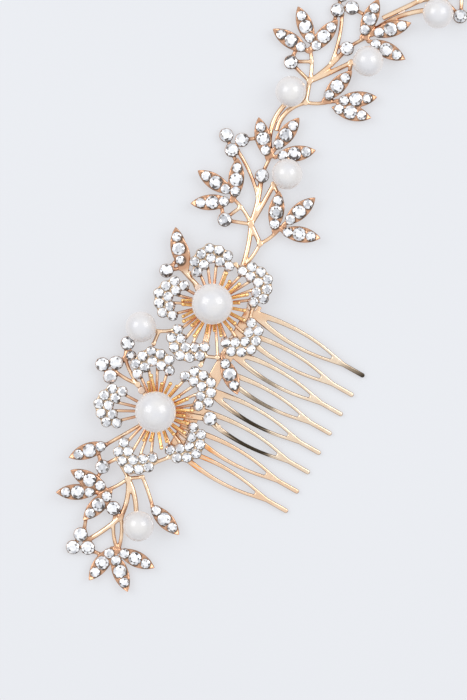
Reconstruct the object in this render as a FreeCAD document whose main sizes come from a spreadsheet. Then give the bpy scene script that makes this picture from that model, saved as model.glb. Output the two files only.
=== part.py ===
import FreeCAD, Part
import Sketcher
import math
import os

# A decorative hair comb: an eight-toothed comb behind two paved flowers, a sprig below them and a
# vine of three sprigs above. It lies on its back, +Z up towards the decorated side. Millimetres.

os.makedirs("parts", exist_ok=True)
Vector = FreeCAD.Vector
Placement = FreeCAD.Placement
Rotation = FreeCAD.Rotation
Z_AXIS = Vector(0, 0, 1)
doc = FreeCAD.newDocument("decorative_hair_comb")

# ---------------------------------------------------------------- driving dimensions

SIZES = (
    ("tooth_count", 8),
    ("tooth_pitch", 4.35),
    ("tooth_length", 24.1),
    ("tooth_half_root", 0.85),
    ("tooth_half_middle", 1.82),
    ("tooth_half_throat", 0.9),
    ("tooth_half_tip", 0.44),
    ("leg_width", 0.76),
    ("eye_start", 2.4),
    ("eye_end", 16.3),
    ("comb_thickness", 0.8),
    ("spine_width", 2.6),
    ("spine_lift", 0.9),
    ("comb_turn", -29.5),
    ("big_pearl_d", 8.0),
    ("small_pearl_d", 6.0),
    ("peg_d", 0.8),
    ("peg_clearance", 0.05),
    ("small_stone_d", 1.9),
    ("large_stone_d", 2.6),
    ("bezel_wall", 0.08),
    ("plate_thickness", 0.9),
    ("stem_d", 1.0),
    ("twig_d", 0.76),
    ("filament_d", 0.62),
    ("leaf_length", 8.2),
    ("leaf_width", 3.1),
    ("leaf_lift", 7.0),
    ("petal_lift", 6.0),
    ("flower_level", 2.0),
    ("hub_d", 6.0),
    ("stamen_pitch", 15.0),
    ("stamen_d", 0.66),
    ("vine_level", 0.55),
    ("sprig_level", 1.4),
    ("eyelet_d", 4.0),
    ("eyelet_bore_d", 2.2),
)

sheet = doc.addObject("Spreadsheet::Sheet", "Sizes")
for row, (alias, value) in enumerate(SIZES, start=1):
    sheet.set(f"A{row}", alias)
    sheet.set(f"B{row}", str(value))
    sheet.setAlias(f"B{row}", alias)
doc.recompute()


def size(alias):
    return float(sheet.get(alias))


nodes = []


def keep(feature, name):
    """Give a finished sub-part the name that its file takes."""
    feature.Label = name
    nodes.append(feature)
    return feature


def feature_of(shape, name, placement):
    """A sub-part whose shape is built with Part's functions."""
    feature = doc.addObject("Part::Feature", name)
    feature.Shape = shape
    feature.Placement = placement
    return keep(feature, name)


# ---------------------------------------------------------------- comb plate

def plane_sketch(body, name, role):
    sketch = body.newObject("Sketcher::SketchObject", name)
    plane = [item for item in body.Origin.OriginFeatures if item.Role == role][0]
    sketch.AttachmentSupport = [(plane, "")]
    sketch.MapMode = "FlatFace"
    return sketch


def pin_point(sketch, item, end, x_rule, y_rule):
    """Hold one end of a sketch item at a place worked out from the sizes."""
    for kind, rule in (("DistanceX", x_rule), ("DistanceY", y_rule)):
        corner = sketch.getPoint(item, end)
        value = corner.x if kind == "DistanceX" else corner.y
        index = sketch.addConstraint(Sketcher.Constraint(kind, -1, 1, item, end, value))
        if isinstance(rule, str):
            sketch.setExpression(f"Constraints[{index}]", rule)


def closed_outline(sketch, corners, rules, bulges):
    """Lines and arcs through the corners; a bulge is the point an arc passes through."""
    count = len(corners)
    for index in range(count):
        start = corners[index]
        end = corners[(index + 1) % count]
        if bulges.get(index) is None:
            sketch.addGeometry(Part.LineSegment(start, end))
        else:
            sketch.addGeometry(Part.Arc(start, bulges[index], end))
    for index in range(count):
        after = (index + 1) % count
        near_end = 2
        if sketch.getPoint(index, 2).distanceToPoint(corners[after]) > 1e-6:
            near_end = 1
        far_start = 1
        if sketch.getPoint(after, 1).distanceToPoint(corners[after]) > 1e-6:
            far_start = 2
        sketch.addConstraint(Sketcher.Constraint("Coincident", index, near_end, after, far_start))
        pin_point(sketch, index, near_end, *rules[after])


def make_comb_plate():
    count = int(size("tooth_count"))
    pitch = size("tooth_pitch")
    length = size("tooth_length")
    half_root = size("tooth_half_root")
    half_middle = size("tooth_half_middle")
    half_throat = size("tooth_half_throat")
    half_tip = size("tooth_half_tip")
    leg = size("leg_width")
    width = size("spine_width")
    half_spine = pitch * (count - 1) / 2 + half_middle
    blank_depth = 4.0

    plan = doc.addObject("PartDesign::Body", "comb_plan")
    spine_sketch = plane_sketch(plan, "spine_outline", "XY_Plane")
    span = "Sizes.tooth_pitch * (Sizes.tooth_count - 1) / 2 + Sizes.tooth_half_middle"
    closed_outline(
        spine_sketch,
        (
            Vector(-width, -half_spine),
            Vector(0, -half_spine),
            Vector(0, half_spine),
            Vector(-width, half_spine),
        ),
        (("-Sizes.spine_width", f"-({span})"), (0, f"-({span})"), (0, span), ("-Sizes.spine_width", span)),
        {},
    )
    spine = plan.newObject("PartDesign::Pad", "spine")
    spine.Profile = spine_sketch
    spine.Length = blank_depth
    doc.recompute()

    # One tooth: two bowed legs that meet in a throat and run on as one straight tip.
    root_x = -0.5
    widest_x = 9.0
    throat_x = 16.9
    tip_start_x = 19.4
    tooth_sketch = plane_sketch(plan, "tooth_outline", "XY_Plane")
    closed_outline(
        tooth_sketch,
        (
            Vector(root_x, -half_root),
            Vector(throat_x, -half_throat),
            Vector(tip_start_x, -half_tip),
            Vector(length - half_tip, -half_tip),
            Vector(length - half_tip, half_tip),
            Vector(tip_start_x, half_tip),
            Vector(throat_x, half_throat),
            Vector(root_x, half_root),
        ),
        (
            (0, "-Sizes.tooth_half_root"),
            (0, "-Sizes.tooth_half_throat"),
            (0, "-Sizes.tooth_half_tip"),
            ("Sizes.tooth_length - Sizes.tooth_half_tip", "-Sizes.tooth_half_tip"),
            ("Sizes.tooth_length - Sizes.tooth_half_tip", "Sizes.tooth_half_tip"),
            (0, "Sizes.tooth_half_tip"),
            (0, "Sizes.tooth_half_throat"),
            (0, "Sizes.tooth_half_root"),
        ),
        {
            0: Vector(widest_x, -half_middle),
            3: Vector(length, 0),
            6: Vector(widest_x, half_middle),
        },
    )
    first_row = "-Sizes.tooth_pitch * (Sizes.tooth_count - 1) / 2"
    tooth_sketch.setExpression("AttachmentOffset.Base.y", first_row)
    tooth = plan.newObject("PartDesign::Pad", "tooth")
    tooth.Profile = tooth_sketch
    tooth.Length = blank_depth
    doc.recompute()

    # The long eye between the legs, rounded at both ends.
    eye_start = size("eye_start")
    eye_end = size("eye_end")
    eye_half_start = 0.24
    eye_half_end = 0.36
    eye_sketch = plane_sketch(plan, "eye_outline", "XY_Plane")
    closed_outline(
        eye_sketch,
        (
            Vector(eye_start, -eye_half_start),
            Vector(eye_end, -eye_half_end),
            Vector(eye_end, eye_half_end),
            Vector(eye_start, eye_half_start),
        ),
        (
            ("Sizes.eye_start", 0),
            ("Sizes.eye_end", 0),
            ("Sizes.eye_end", 0),
            ("Sizes.eye_start", 0),
        ),
        {
            0: Vector(widest_x, -(half_middle - leg)),
            1: Vector(eye_end + eye_half_end, 0),
            2: Vector(widest_x, half_middle - leg),
            3: Vector(eye_start - eye_half_start, 0),
        },
    )
    eye_sketch.setExpression("AttachmentOffset.Base.y", first_row)
    eye = plan.newObject("PartDesign::Pocket", "eye")
    eye.Profile = eye_sketch
    eye.Type = "ThroughAll"
    eye.Reversed = True
    doc.recompute()
    if eye.Shape.Volume >= tooth.Shape.Volume:
        raise RuntimeError("the eye removed nothing from the tooth")

    row_of_teeth = plan.newObject("PartDesign::LinearPattern", "row_of_teeth")
    row_of_teeth.Originals = [tooth, eye]
    row_of_teeth.Direction = (spine_sketch, ["V_Axis"])
    row_of_teeth.Length = pitch * (count - 1)
    row_of_teeth.setExpression("Length", "Sizes.tooth_pitch * (Sizes.tooth_count - 1)")
    row_of_teeth.Occurrences = count
    row_of_teeth.setExpression("Occurrences", "Sizes.tooth_count")
    plan.Tip = row_of_teeth
    doc.recompute()

    # The side view: a flat spine, then teeth bent in one long arc down to their tips.
    thickness = size("comb_thickness")
    lift = size("spine_lift")
    bend = (length ** 2 + lift ** 2) / (2 * lift)
    bend_angle = math.asin(length / bend)

    def on_bend(radius, angle):
        return Vector(radius * math.sin(angle), lift - bend + radius * math.cos(angle))

    side = doc.addObject("PartDesign::Body", "comb_side")
    side_sketch = plane_sketch(side, "side_outline", "XZ_Plane")
    top = bend + thickness
    closed_outline(
        side_sketch,
        (
            Vector(-width, lift),
            Vector(0, lift),
            on_bend(bend, bend_angle),
            on_bend(top, bend_angle),
            Vector(0, lift + thickness),
            Vector(-width, lift + thickness),
        ),
        (
            ("-Sizes.spine_width", "Sizes.spine_lift"),
            (0, "Sizes.spine_lift"),
            ("Sizes.tooth_length", 0),
            (0, 0),
            (0, "Sizes.spine_lift + Sizes.comb_thickness"),
            ("-Sizes.spine_width", "Sizes.spine_lift + Sizes.comb_thickness"),
        ),
        {1: on_bend(bend, bend_angle / 2), 3: on_bend(top, bend_angle / 2)},
    )
    strip = side.newObject("PartDesign::Pad", "bent_strip")
    strip.Profile = side_sketch
    strip.SideType = "Symmetric"
    strip.Length = 2 * half_spine + 2
    doc.recompute()

    comb = doc.addObject("Part::Common", "comb_plate")
    comb.Base = plan
    comb.Tool = side
    comb.Placement = Placement(Vector(-0.15, -0.26, 0), Rotation(Z_AXIS, size("comb_turn")))
    return keep(comb, "comb_plate")


# ---------------------------------------------------------------- stones and pearls

CROWN = 0.15        # height of a stone above its widest line, in diameters
TABLE = 0.28        # half width of its flat top, in diameters
PAVILION = 0.26     # depth below the widest line, in diameters


def stone(diameter):
    """A round cut stone about its widest line: a flat top, a bevelled crown and a shallow cone."""
    radius = diameter / 2
    crown = Part.makeCone(radius, TABLE * diameter, CROWN * diameter)
    cone = Part.makeCone(0.12 * diameter, radius, PAVILION * diameter, Vector(0, 0, -PAVILION * diameter))
    return crown.fuse(cone)


STONE = {"small": stone(size("small_stone_d")), "large": stone(size("large_stone_d"))}


def make_pearl(name, diameter_alias, placement):
    """A pearl, half drilled from below for its peg; it sits on the local origin."""
    ball = doc.addObject("Part::Sphere", f"{name}_ball")
    ball.setExpression("Radius", f"Sizes.{diameter_alias} / 2")
    ball.setExpression("Placement.Base.z", f"Sizes.{diameter_alias} / 2")
    drill = doc.addObject("Part::Cylinder", f"{name}_drill")
    drill.setExpression("Radius", "Sizes.peg_d / 2 + Sizes.peg_clearance")
    drill.setExpression("Height", f"Sizes.{diameter_alias} / 2 + 1")
    drill.setExpression("Placement.Base.z", "-1")
    pearl = doc.addObject("Part::Cut", name)
    pearl.Base = ball
    pearl.Tool = drill
    pearl.Placement = placement
    return keep(pearl, name)


# ---------------------------------------------------------------- pieces of a casting

def rod(start, end, diameter):
    axis = end.sub(start)
    return Part.makeCylinder(diameter / 2, axis.Length, start, axis)


def bow(start, middle, end, diameter):
    """A round rod bent in one arc through three points."""
    arc = Part.Arc(start, middle, end).toShape()
    section = Part.Circle(start, arc.tangentAt(arc.FirstParameter), diameter / 2)
    sweep = math.degrees(arc.LastParameter - arc.FirstParameter)
    return Part.Face(Part.Wire([section.toShape()])).revolve(arc.Curve.Center, arc.Curve.Axis, sweep)


KNOT_WIDTH = 1.22   # a stem ends in a short round boss this much wider
KNOT_HEIGHT = 1.1   # and this much taller than itself


def disc(point, diameter, thickness):
    return Part.makeCylinder(diameter / 2, thickness, point.sub(Vector(0, 0, thickness / 2)))


def leaf_blade():
    """A pointed leaf along +X whose tip curls up. Its foot is at the origin."""
    length = size("leaf_length")
    half = size("leaf_width") / 2
    below = size("plate_thickness") / 2
    outline = Part.Wire([
        Part.Arc(Vector(0, 0, -2), Vector(length / 2, -half, -2), Vector(length, 0, -2)).toShape(),
        Part.Arc(Vector(length, 0, -2), Vector(length / 2, half, -2), Vector(0, 0, -2)).toShape(),
    ])
    plan = Part.Face(outline).extrude(Vector(0, 0, 4))
    curl = 0.55
    low_start = Vector(-1, -2, -below)
    low_bend = Vector(length - 1.9, -2, -below)
    low_end = Vector(length + 0.1, -2, -below + curl)
    top_end = Vector(length + 0.1, -2, below + curl)
    top_bend = Vector(length - 1.1, -2, below)
    top_start = Vector(-1, -2, below)
    side = Part.Wire([
        Part.LineSegment(low_start, low_bend).toShape(),
        Part.Arc(low_bend, Vector(length - 0.9, -2, -below + curl * 0.28), low_end).toShape(),
        Part.LineSegment(low_end, top_end).toShape(),
        Part.Arc(top_end, Vector(length - 0.5, -2, below + curl * 0.3), top_bend).toShape(),
        Part.LineSegment(top_bend, top_start).toShape(),
        Part.LineSegment(top_start, low_start).toShape(),
    ])
    return plan.common(Part.Face(side).extrude(Vector(0, 4, 0)))


LEAF_SEATS = ((1.6, "small"), (3.9, "large"), (6.2, "small"))


def paved_leaf():
    """The leaf with three round settings along its middle."""
    thickness = size("plate_thickness")
    pieces = [leaf_blade()]
    for along, kind in LEAF_SEATS:
        setting = size(f"{kind}_stone_d") + 2 * size("bezel_wall")
        pieces.append(disc(Vector(along, 0, 0), setting, thickness))
    return pieces[0].multiFuse(pieces[1:])


LEAF = paved_leaf()
PLAIN_LEAF = leaf_blade()


def placed(shape, placement):
    copy = shape.copy()
    copy.Placement = placement.multiply(copy.Placement)
    return copy


CUP_D = 3.0         # a small pearl's dished cup
CUP_FLOOR = 0.2     # the pearl's lowest point, above the middle of the cup
PEG_ROOT = 0.3      # how far below that point the pearl's peg starts


class Casting:
    """One casting and what is set in it, in the casting's own frame. A hand of -1 mirrors it."""

    def __init__(self, hand=1):
        self.hand = hand
        self.metal = []
        self.knots = {}
        self.stones = {"small": [], "large": []}
        self.pearls = []
        self.bores = []
        self.thickness = size("plate_thickness")

    def stem(self, *points, diameter="stem_d", cut_end=False):
        """A stem through two or three points, with a boss at each end but a cut one."""
        path = [Vector(self.hand * point[0], *point[1:]) for point in points]
        thickness = size(diameter)
        if len(path) == 2:
            self.metal.append(rod(path[0], path[1], thickness))
        else:
            self.metal.append(bow(path[0], path[1], path[2], thickness))
        for point in path[:1] if cut_end else (path[0], path[-1]):
            spot = tuple(point)
            self.knots[spot] = max(thickness, self.knots.get(spot, 0))

    def seat(self, kind, placement):
        """Set a stone with its widest line at the top of the setting."""
        raised = placement.multiply(Placement(Vector(0, 0, self.thickness / 2), Rotation()))
        self.stones[kind].append(placed(STONE[kind], raised))

    def cup(self, x, y, kind="large"):
        x *= self.hand
        setting = size(f"{kind}_stone_d") + 2 * size("bezel_wall")
        self.metal.append(disc(Vector(x, y, 0), setting, self.thickness))
        self.seat(kind, Placement(Vector(x, y, 0), Rotation()))

    def leaf(self, x, y, heading, paved=True):
        """A leaf whose first stone is at x, y, raised a little towards its tip."""
        x *= self.hand
        if self.hand < 0:
            heading = 180 - heading
        turn = Rotation(Z_AXIS, heading).multiply(Rotation(Vector(0, 1, 0), -size("leaf_lift")))
        foot = Vector(x, y, 0).sub(turn.multVec(Vector(LEAF_SEATS[0][0], 0, 0)))
        place = Placement(Vector(foot.x, foot.y, 0), turn)
        self.metal.append(placed(LEAF if paved else PLAIN_LEAF, place))
        if paved:
            for along, kind in LEAF_SEATS:
                self.seat(kind, place.multiply(Placement(Vector(along, 0, 0), Rotation())))

    def pearl_cup(self, x, y):
        """A dished cup with a peg; the pearl's lowest point is at the dish."""
        x *= self.hand
        pearl_r = size("small_pearl_d") / 2
        ball = Part.makeSphere(pearl_r, Vector(x, y, CUP_FLOOR + pearl_r))
        self.metal.append(disc(Vector(x, y, 0), CUP_D, self.thickness))
        self.pearls.append((Vector(x, y, CUP_FLOOR), ball))

    def solid(self):
        """The metal in one piece, with the seats cut in it."""
        knots = [disc(Vector(*spot), KNOT_WIDTH * thickness, KNOT_HEIGHT * thickness)
                 for spot, thickness in self.knots.items()]
        metal = self.metal[0].multiFuse(self.metal[1:] + knots)
        peg_r = size("peg_d") / 2
        peg_length = size("small_pearl_d") / 2 - PEG_ROOT
        pegs = [Part.makeCylinder(peg_r, peg_length, point.sub(Vector(0, 0, PEG_ROOT)))
                for point, ball in self.pearls]
        balls = [ball for point, ball in self.pearls]
        metal = metal.cut(self.stones["small"] + self.stones["large"] + balls + self.bores)
        if pegs:
            metal = metal.multiFuse(pegs)
        return metal


pearl_number = 0


def finish_casting(casting, name, placement):
    """Add the casting, its stones, grouped by size, and its pearls to the document."""
    global pearl_number
    feature_of(casting.solid(), name, placement)
    for kind in ("small", "large"):
        if casting.stones[kind]:
            feature_of(Part.makeCompound(casting.stones[kind]), f"{name}_{kind}_stones", placement)
    for point, ball in casting.pearls:
        pearl_number += 1
        spot = placement.multiply(Placement(point, Rotation()))
        make_pearl(f"small_pearl_{pearl_number}", "small_pearl_d", spot)


# ---------------------------------------------------------------- flowers

# Seats of one petal's right half and middle, as (across, out) from the flower's centre: an outer
# and an inner bow of five small stones each.
OUTER_SEATS = ((0, 10.9), (1.8, 10.15), (3.3, 8.85))
INNER_SEATS = ((0, 8.95), (1.62, 7.93), (3.15, 6.78))
FILAMENT_ENDS = ((-2.7, 6.6), (-0.9, 8.0), (0.9, 8.0), (2.7, 6.6))


def petal_seats():
    """Both bows, from one side of the petal to the other."""
    for bow_seats in (OUTER_SEATS, INNER_SEATS):
        for side in (-1, 1):
            for across, out in bow_seats:
                if across or side > 0:
                    yield Vector(side * across, out, 0)


def petal_plate():
    """A crescent plate with a round setting at each seat."""
    thickness = size("plate_thickness")
    base = -thickness / 2
    corner_left = Vector(-3.9, 8.2, base)
    corner_right = Vector(3.9, 8.2, base)
    end_right = Vector(3.0, 6.3, base)
    end_left = Vector(-3.0, 6.3, base)
    outline = Part.Wire([
        Part.Arc(corner_left, Vector(0, 11.5, base), corner_right).toShape(),
        Part.LineSegment(corner_right, end_right).toShape(),
        Part.Arc(end_right, Vector(0, 8.4, base), end_left).toShape(),
        Part.LineSegment(end_left, corner_left).toShape(),
    ])
    crescent = Part.Face(outline).extrude(Vector(0, 0, thickness))
    setting = size("small_stone_d") + 2 * size("bezel_wall")
    return crescent.multiFuse([disc(seat, setting, thickness) for seat in petal_seats()])


PETAL = petal_plate()
PETAL_HINGE = 6.0       # the petal turns up from here outwards


def petal_place(heading, aside, reach):
    """A petal bent by hand: its heading, and how far it is moved aside and outwards."""
    hinge = Vector(0, PETAL_HINGE, 0)
    lifted = Placement(hinge, Rotation(Vector(1, 0, 0), size("petal_lift")))
    lifted = lifted.multiply(Placement(hinge.negative(), Rotation()))
    moved = Placement(Vector(aside, reach, 0), Rotation()).multiply(lifted)
    return Placement(Vector(), Rotation(Z_AXIS, heading - 90)).multiply(moved)


def flower(petals):
    """A hub, four filaments to each petal, and the paved petals."""
    casting = Casting()
    casting.metal.append(disc(Vector(), size("hub_d"), casting.thickness))
    hub_rim = 0.35 * size("hub_d")
    for bend in petals:
        place = petal_place(*bend)
        casting.metal.append(placed(PETAL, place))
        for seat in petal_seats():
            casting.seat("small", place.multiply(Placement(seat, Rotation())))
        for end in FILAMENT_ENDS:
            tip = place.multVec(Vector(*end, 0))
            flat = Vector(tip.x, tip.y, 0).normalize()
            casting.metal.append(rod(flat.multiply(hub_rim), tip, size("filament_d")))
    return casting


def with_peg_hole(shape):
    """The shape with the hole on its axis that the big pearl's peg goes through."""
    radius = size("peg_d") / 2 + size("peg_clearance")
    reach = 3
    return shape.cut(Part.makeCylinder(radius, 2 * reach, Vector(0, 0, -reach)))


def finish_flower(casting, name, centre):
    thickness = size("plate_thickness")
    place = Placement(Vector(*centre, size("flower_level") + thickness / 2), Rotation())
    feature_of(with_peg_hole(casting.solid()), f"{name}_flower", place)
    for kind in ("small", "large"):
        if casting.stones[kind]:
            feature_of(Part.makeCompound(casting.stones[kind]), f"{name}_flower_{kind}_stones", place)


STAMEN_PLATE = 0.7      # thickness of the disc that carries the stamens
STAMEN_PLATE_R = 0.44   # its radius, in hub diameters
STAMEN_START = (2.3, 0.34)      # how far out and up a stamen starts
STAMEN_BALL = 0.62      # radius of the ball on its tip, in its diameters
STAMEN_TIPS = ((6.3, 1.5), (5.5, 1.15), (6.8, 1.65))    # how far out and up, one after another


def finish_stamens(name, centre, first_turn, last_turn):
    """A fan of round rods rising from a disc. It leaves one side of the flower open."""
    gaps = round((last_turn - first_turn) / size("stamen_pitch"))
    diameter = size("stamen_d")
    pieces = [Part.makeCylinder(STAMEN_PLATE_R * size("hub_d"), STAMEN_PLATE)]
    root, level = STAMEN_START
    for index in range(gaps + 1):
        reach, rise = STAMEN_TIPS[index % len(STAMEN_TIPS)]
        heading = first_turn + (last_turn - first_turn) * index / gaps
        turn = Placement(Vector(), Rotation(Z_AXIS, heading))
        start = turn.multVec(Vector(root, 0, level))
        end = turn.multVec(Vector(reach, 0, rise))
        pieces.append(rod(start, end, diameter))
        pieces.append(Part.makeSphere(STAMEN_BALL * diameter, end, end.sub(start)))
    burst = pieces[0].multiFuse(pieces[1:])
    seat = size("flower_level") + size("plate_thickness")
    feature_of(with_peg_hole(burst), f"{name}_stamens", Placement(Vector(*centre, seat), Rotation()))


DISH_RADIUS = 2.2
DISH_THICKNESS = 0.8
DISH_FLOOR = 0.25       # metal under the pearl


def finish_big_pearl(name, centre):
    """A dish that fits the pearl, on a peg through the stamens and the flower's hub."""
    below = STAMEN_PLATE + size("plate_thickness")
    level = size("flower_level") + below
    place = Placement(Vector(*centre, level), Rotation())
    plate = doc.addObject("Part::Cylinder", f"{name}_dish_plate")
    plate.Radius = DISH_RADIUS
    plate.Height = DISH_THICKNESS
    hollow = doc.addObject("Part::Sphere", f"{name}_dish_hollow")
    hollow.setExpression("Radius", "Sizes.big_pearl_d / 2")
    hollow.setExpression("Placement.Base.z", f"Sizes.big_pearl_d / 2 + {DISH_FLOOR}")
    bowl = doc.addObject("Part::Cut", f"{name}_dish_bowl")
    bowl.Base = plate
    bowl.Tool = hollow
    peg = doc.addObject("Part::Cylinder", f"{name}_peg")
    peg.setExpression("Radius", "Sizes.peg_d / 2")
    peg.setExpression("Height", f"Sizes.big_pearl_d * 0.4 + {below}")
    peg.Placement.Base = Vector(0, 0, -below)
    dish = doc.addObject("Part::Fuse", f"{name}_pearl_dish")
    dish.Base = bowl
    dish.Tool = peg
    dish.Placement = place
    keep(dish, f"{name}_pearl_dish")
    on_floor = Placement(Vector(0, 0, DISH_FLOOR), Rotation())
    make_pearl(f"{name}_pearl", "big_pearl_d", place.multiply(on_floor))


UPPER_CENTRE = (-1.4, 15.2)
LOWER_CENTRE = (-12.4, -5.7)
UPPER_PETALS = ((100, 1.3, 0), (20, -0.9, 0.9), (-53, -0.7, 0.7), (-123, -0.1, 1.0), (159, -1.7, -0.3))
LOWER_PETALS = ((96, 0.3, 0.9), (24, -0.8, 1.2), (-46, 0.1, 0.5), (-117, -0.3, 1.5), (170, -0.4, 0.4))


def make_flowers():
    upper = flower(UPPER_PETALS)
    # Short bars tie neighbouring petals together.
    upper.stem((4.5, 7.8, 0), (6.3, 5.8, 0), diameter="twig_d")
    upper.stem((7.9, -0.5, 0), (7.2, -3.0, 0), diameter="twig_d")
    upper.stem((-1.5, -10.1, 0.2), (1.0, -10.4, 0.2), diameter="twig_d")
    upper.stem((-1.5, -10.1, 0.2), (-2.3, -11.9, 0.2), diameter="twig_d")
    upper.stem((0.5, -2.1, 0), (1.0, -10.4, 0.2), diameter="filament_d")
    upper.stem((0.1, -2.1, 0), (-1.5, -10.1, 0.2), diameter="filament_d")
    finish_flower(upper, "upper", UPPER_CENTRE)
    finish_stamens("upper", UPPER_CENTRE, -192, 64)
    finish_big_pearl("upper", UPPER_CENTRE)

    lower = flower(LOWER_PETALS)
    lower.stem((-0.3, -10.0, 0.2), (2.6, -8.9, 0.2), diameter="twig_d")
    # One large stone stands alone on a filament of its own between two petals.
    lower.stem((2.0, 0.3, 0), (9.6, -1.1, 0), diameter="filament_d")
    lower.stem((2.0, -0.7, 0), (9.6, -1.6, 0), diameter="filament_d")
    lower.stem((10.5, -1.4, 0), (12.2, -3.0, 0), diameter="twig_d")
    lower.cup(10.5, -1.4)
    finish_flower(lower, "lower", LOWER_CENTRE)
    finish_stamens("lower", LOWER_CENTRE, -112, 108)
    finish_big_pearl("lower", LOWER_CENTRE)


# ---------------------------------------------------------------- vine sprigs

LEFT_PIVOT = (-4.7, 4.2, 0)
TOP_PIVOT = (0.8, 14.0, 0)
RIGHT_PIVOT = (5.6, 0.3, 0)
VINE_LEAVES = (
    (-6.2, 3.1, 197), (-6.4, 5.6, 160), (-4.4, 5.6, 99),
    (-0.5, 14.8, 115), (1.8, 16.5, 65), (3.1, 14.5, 21),
    (4.5, 1.1, 95), (7.3, 2.6, 54),
)


def vine_sprig(last_leaf, hand=1):
    """The pattern of all three vine sprigs: forward is +Y and the fork is at the origin.
    Only the last of the nine leaves is bent differently in each."""
    sprig = Casting(hand)
    for leaf in VINE_LEAVES + (last_leaf,):
        sprig.leaf(*leaf)
    # Three stems from the fork: to the stone, to the pearl and to the left leaves.
    sprig.stem((0, 0, 0), (0.3, 4.4, 0), (0, 8.9, 0))
    sprig.stem((0, 0, 0), (1.4, 4.3, 0), (2.6, 8.6, 0))
    sprig.stem((2.6, 8.6, 0), (4.2, 10.4, 0), diameter="twig_d")
    sprig.stem((0, 0, 0), (-2.7, 2.9, 0), LEFT_PIVOT, diameter="twig_d")
    # The stone's stem runs on to the top leaves and sideways to the three round stones.
    sprig.stem((0, 10.4, 0), TOP_PIVOT, diameter="twig_d")
    sprig.stem((0.1, 5.6, 0), (-2.4, 9.7, 0), (-5.7, 13.4, 0), diameter="twig_d")
    for spot in ((0, 9.7), (-5.2, -0.3), (-8.6, 15.9), (-5.4, 15.7), (-6.9, 13.3)):
        sprig.cup(*spot)
    sprig.pearl_cup(4.7, 10.9)
    # A stem back from the fork, and the twig to the right leaves.
    sprig.stem((0, 0, 0), (2.6, -3.3, 0))
    sprig.stem(RIGHT_PIVOT, (4.2, -1.8, 0), (2.6, -3.3, 0), diameter="twig_d")
    # Twigs that tie the outer leaves back.
    sprig.stem((0, 0, 0), (-4.2, -0.3, 0), diameter="twig_d")
    sprig.stem((-4.6, 0.6, 0), (-2.7, 2.8, 0), diameter="twig_d")
    sprig.stem((-6.6, 2.6, 0.2), (-5.8, 0.7, 0), diameter="twig_d")
    sprig.stem((-8.6, 15.9, 0), (-6.9, 13.3, 0), diameter="twig_d")
    sprig.stem((-5.4, 15.7, 0), (-2.0, 16.9, 0.3), diameter="twig_d")
    sprig.stem((-5.4, 10.9, 0.7), (-6.4, 12.5, 0), diameter="twig_d")
    sprig.stem((4.1, 6.6, 0.7), (2.6, 8.6, 0), diameter="twig_d")
    # Little struts from each pivot to its leaves' feet.
    for pivot, feet in (
        (LEFT_PIVOT, ((-4.7, 3.6, 0), (-4.9, 5.1, 0))),
        (TOP_PIVOT, ((0.2, 13.4, 0), (1.1, 15.1, 0), (1.7, 13.9, 0))),
        (RIGHT_PIVOT, ((4.7, -0.3, 0), (6.4, 1.4, 0))),
    ):
        for foot in feet:
            sprig.stem(pivot, foot, diameter="twig_d")
    return sprig


def base_pearl(sprig, x, y):
    """The second and third sprigs have another pearl beside the fork."""
    sprig.pearl_cup(x, y)
    sprig.stem((1.3, -1.8, 0), (x + 0.9, y + 0.5, 0), diameter="twig_d")


VINE_1_PLACE = (6.1, 30.9, -13.0)
VINE_2_PLACE = (17.6, 58.9, -48.9)
VINE_3_PLACE = (43.5, 75.4, -43.3)


def make_vine():
    vine_level = size("vine_level")
    first = vine_sprig((7.4, 0.1, 2))
    first.stem((0, 0, 0), (0.45, -4.5, 0), (0.2, -8.9, 0))
    first.stem((2.6, -3.3, 0), (1.5, -6.6, 0), (0.2, -8.9, 0), diameter="twig_d")
    first.stem(TOP_PIVOT, (-0.32, 19.15, 0), (1.17, 24.3, 0), cut_end=True)
    # The first sprig slopes down from the flower's back to the level of the rest.
    tail_y = -8.9
    head_y = 24.2
    slope = (vine_level - size("sprig_level")) / (head_y - tail_y)
    tilt = Rotation(Vector(1, 0, 0), math.degrees(math.atan(slope)))
    x, y, turn = VINE_1_PLACE
    level = size("sprig_level") - slope * tail_y
    turned = Rotation(Z_AXIS, turn).multiply(tilt)
    finish_casting(first, "vine_sprig_1", Placement(Vector(x, y, level), turned))

    second = vine_sprig((7.95, 0.75, 33))
    base_pearl(second, -0.8, -4.3)
    second.stem((2.6, -3.3, 0), (1.6, -7.45, 0), (3.09, -11.28, 0), cut_end=True)
    second.stem(TOP_PIVOT, (1.45, 19.8, 0), (4.45, 26.26, 0), cut_end=True)
    x, y, turn = VINE_2_PLACE
    finish_casting(second, "vine_sprig_2", Placement(Vector(x, y, vine_level), Rotation(Z_AXIS, turn)))

    # The last sprig is the other hand, and ends in an eyelet for a hairpin.
    third = vine_sprig((7.2, 0.3, 18), hand=-1)
    base_pearl(third, -1.7, -3.2)
    third.stem((2.6, -3.3, 0), (5.6, -11.0, 0), cut_end=True)
    third.stem(TOP_PIVOT, (0.2, 18.2, 0), (1.2, 22.2, 0))
    eyelet = Vector(-1.6, 23.9, 0)
    third.metal.append(disc(eyelet, size("eyelet_d"), third.thickness))
    third.bores.append(disc(eyelet, size("eyelet_bore_d"), 3 * third.thickness))
    x, y, turn = VINE_3_PLACE
    place = Placement(Vector(x, y, vine_level), Rotation(Z_AXIS, turn))
    finish_casting(third, "vine_sprig_3", place)
    return place.multVec(eyelet)


# ---------------------------------------------------------------- lower, side and leaf sprigs

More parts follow.
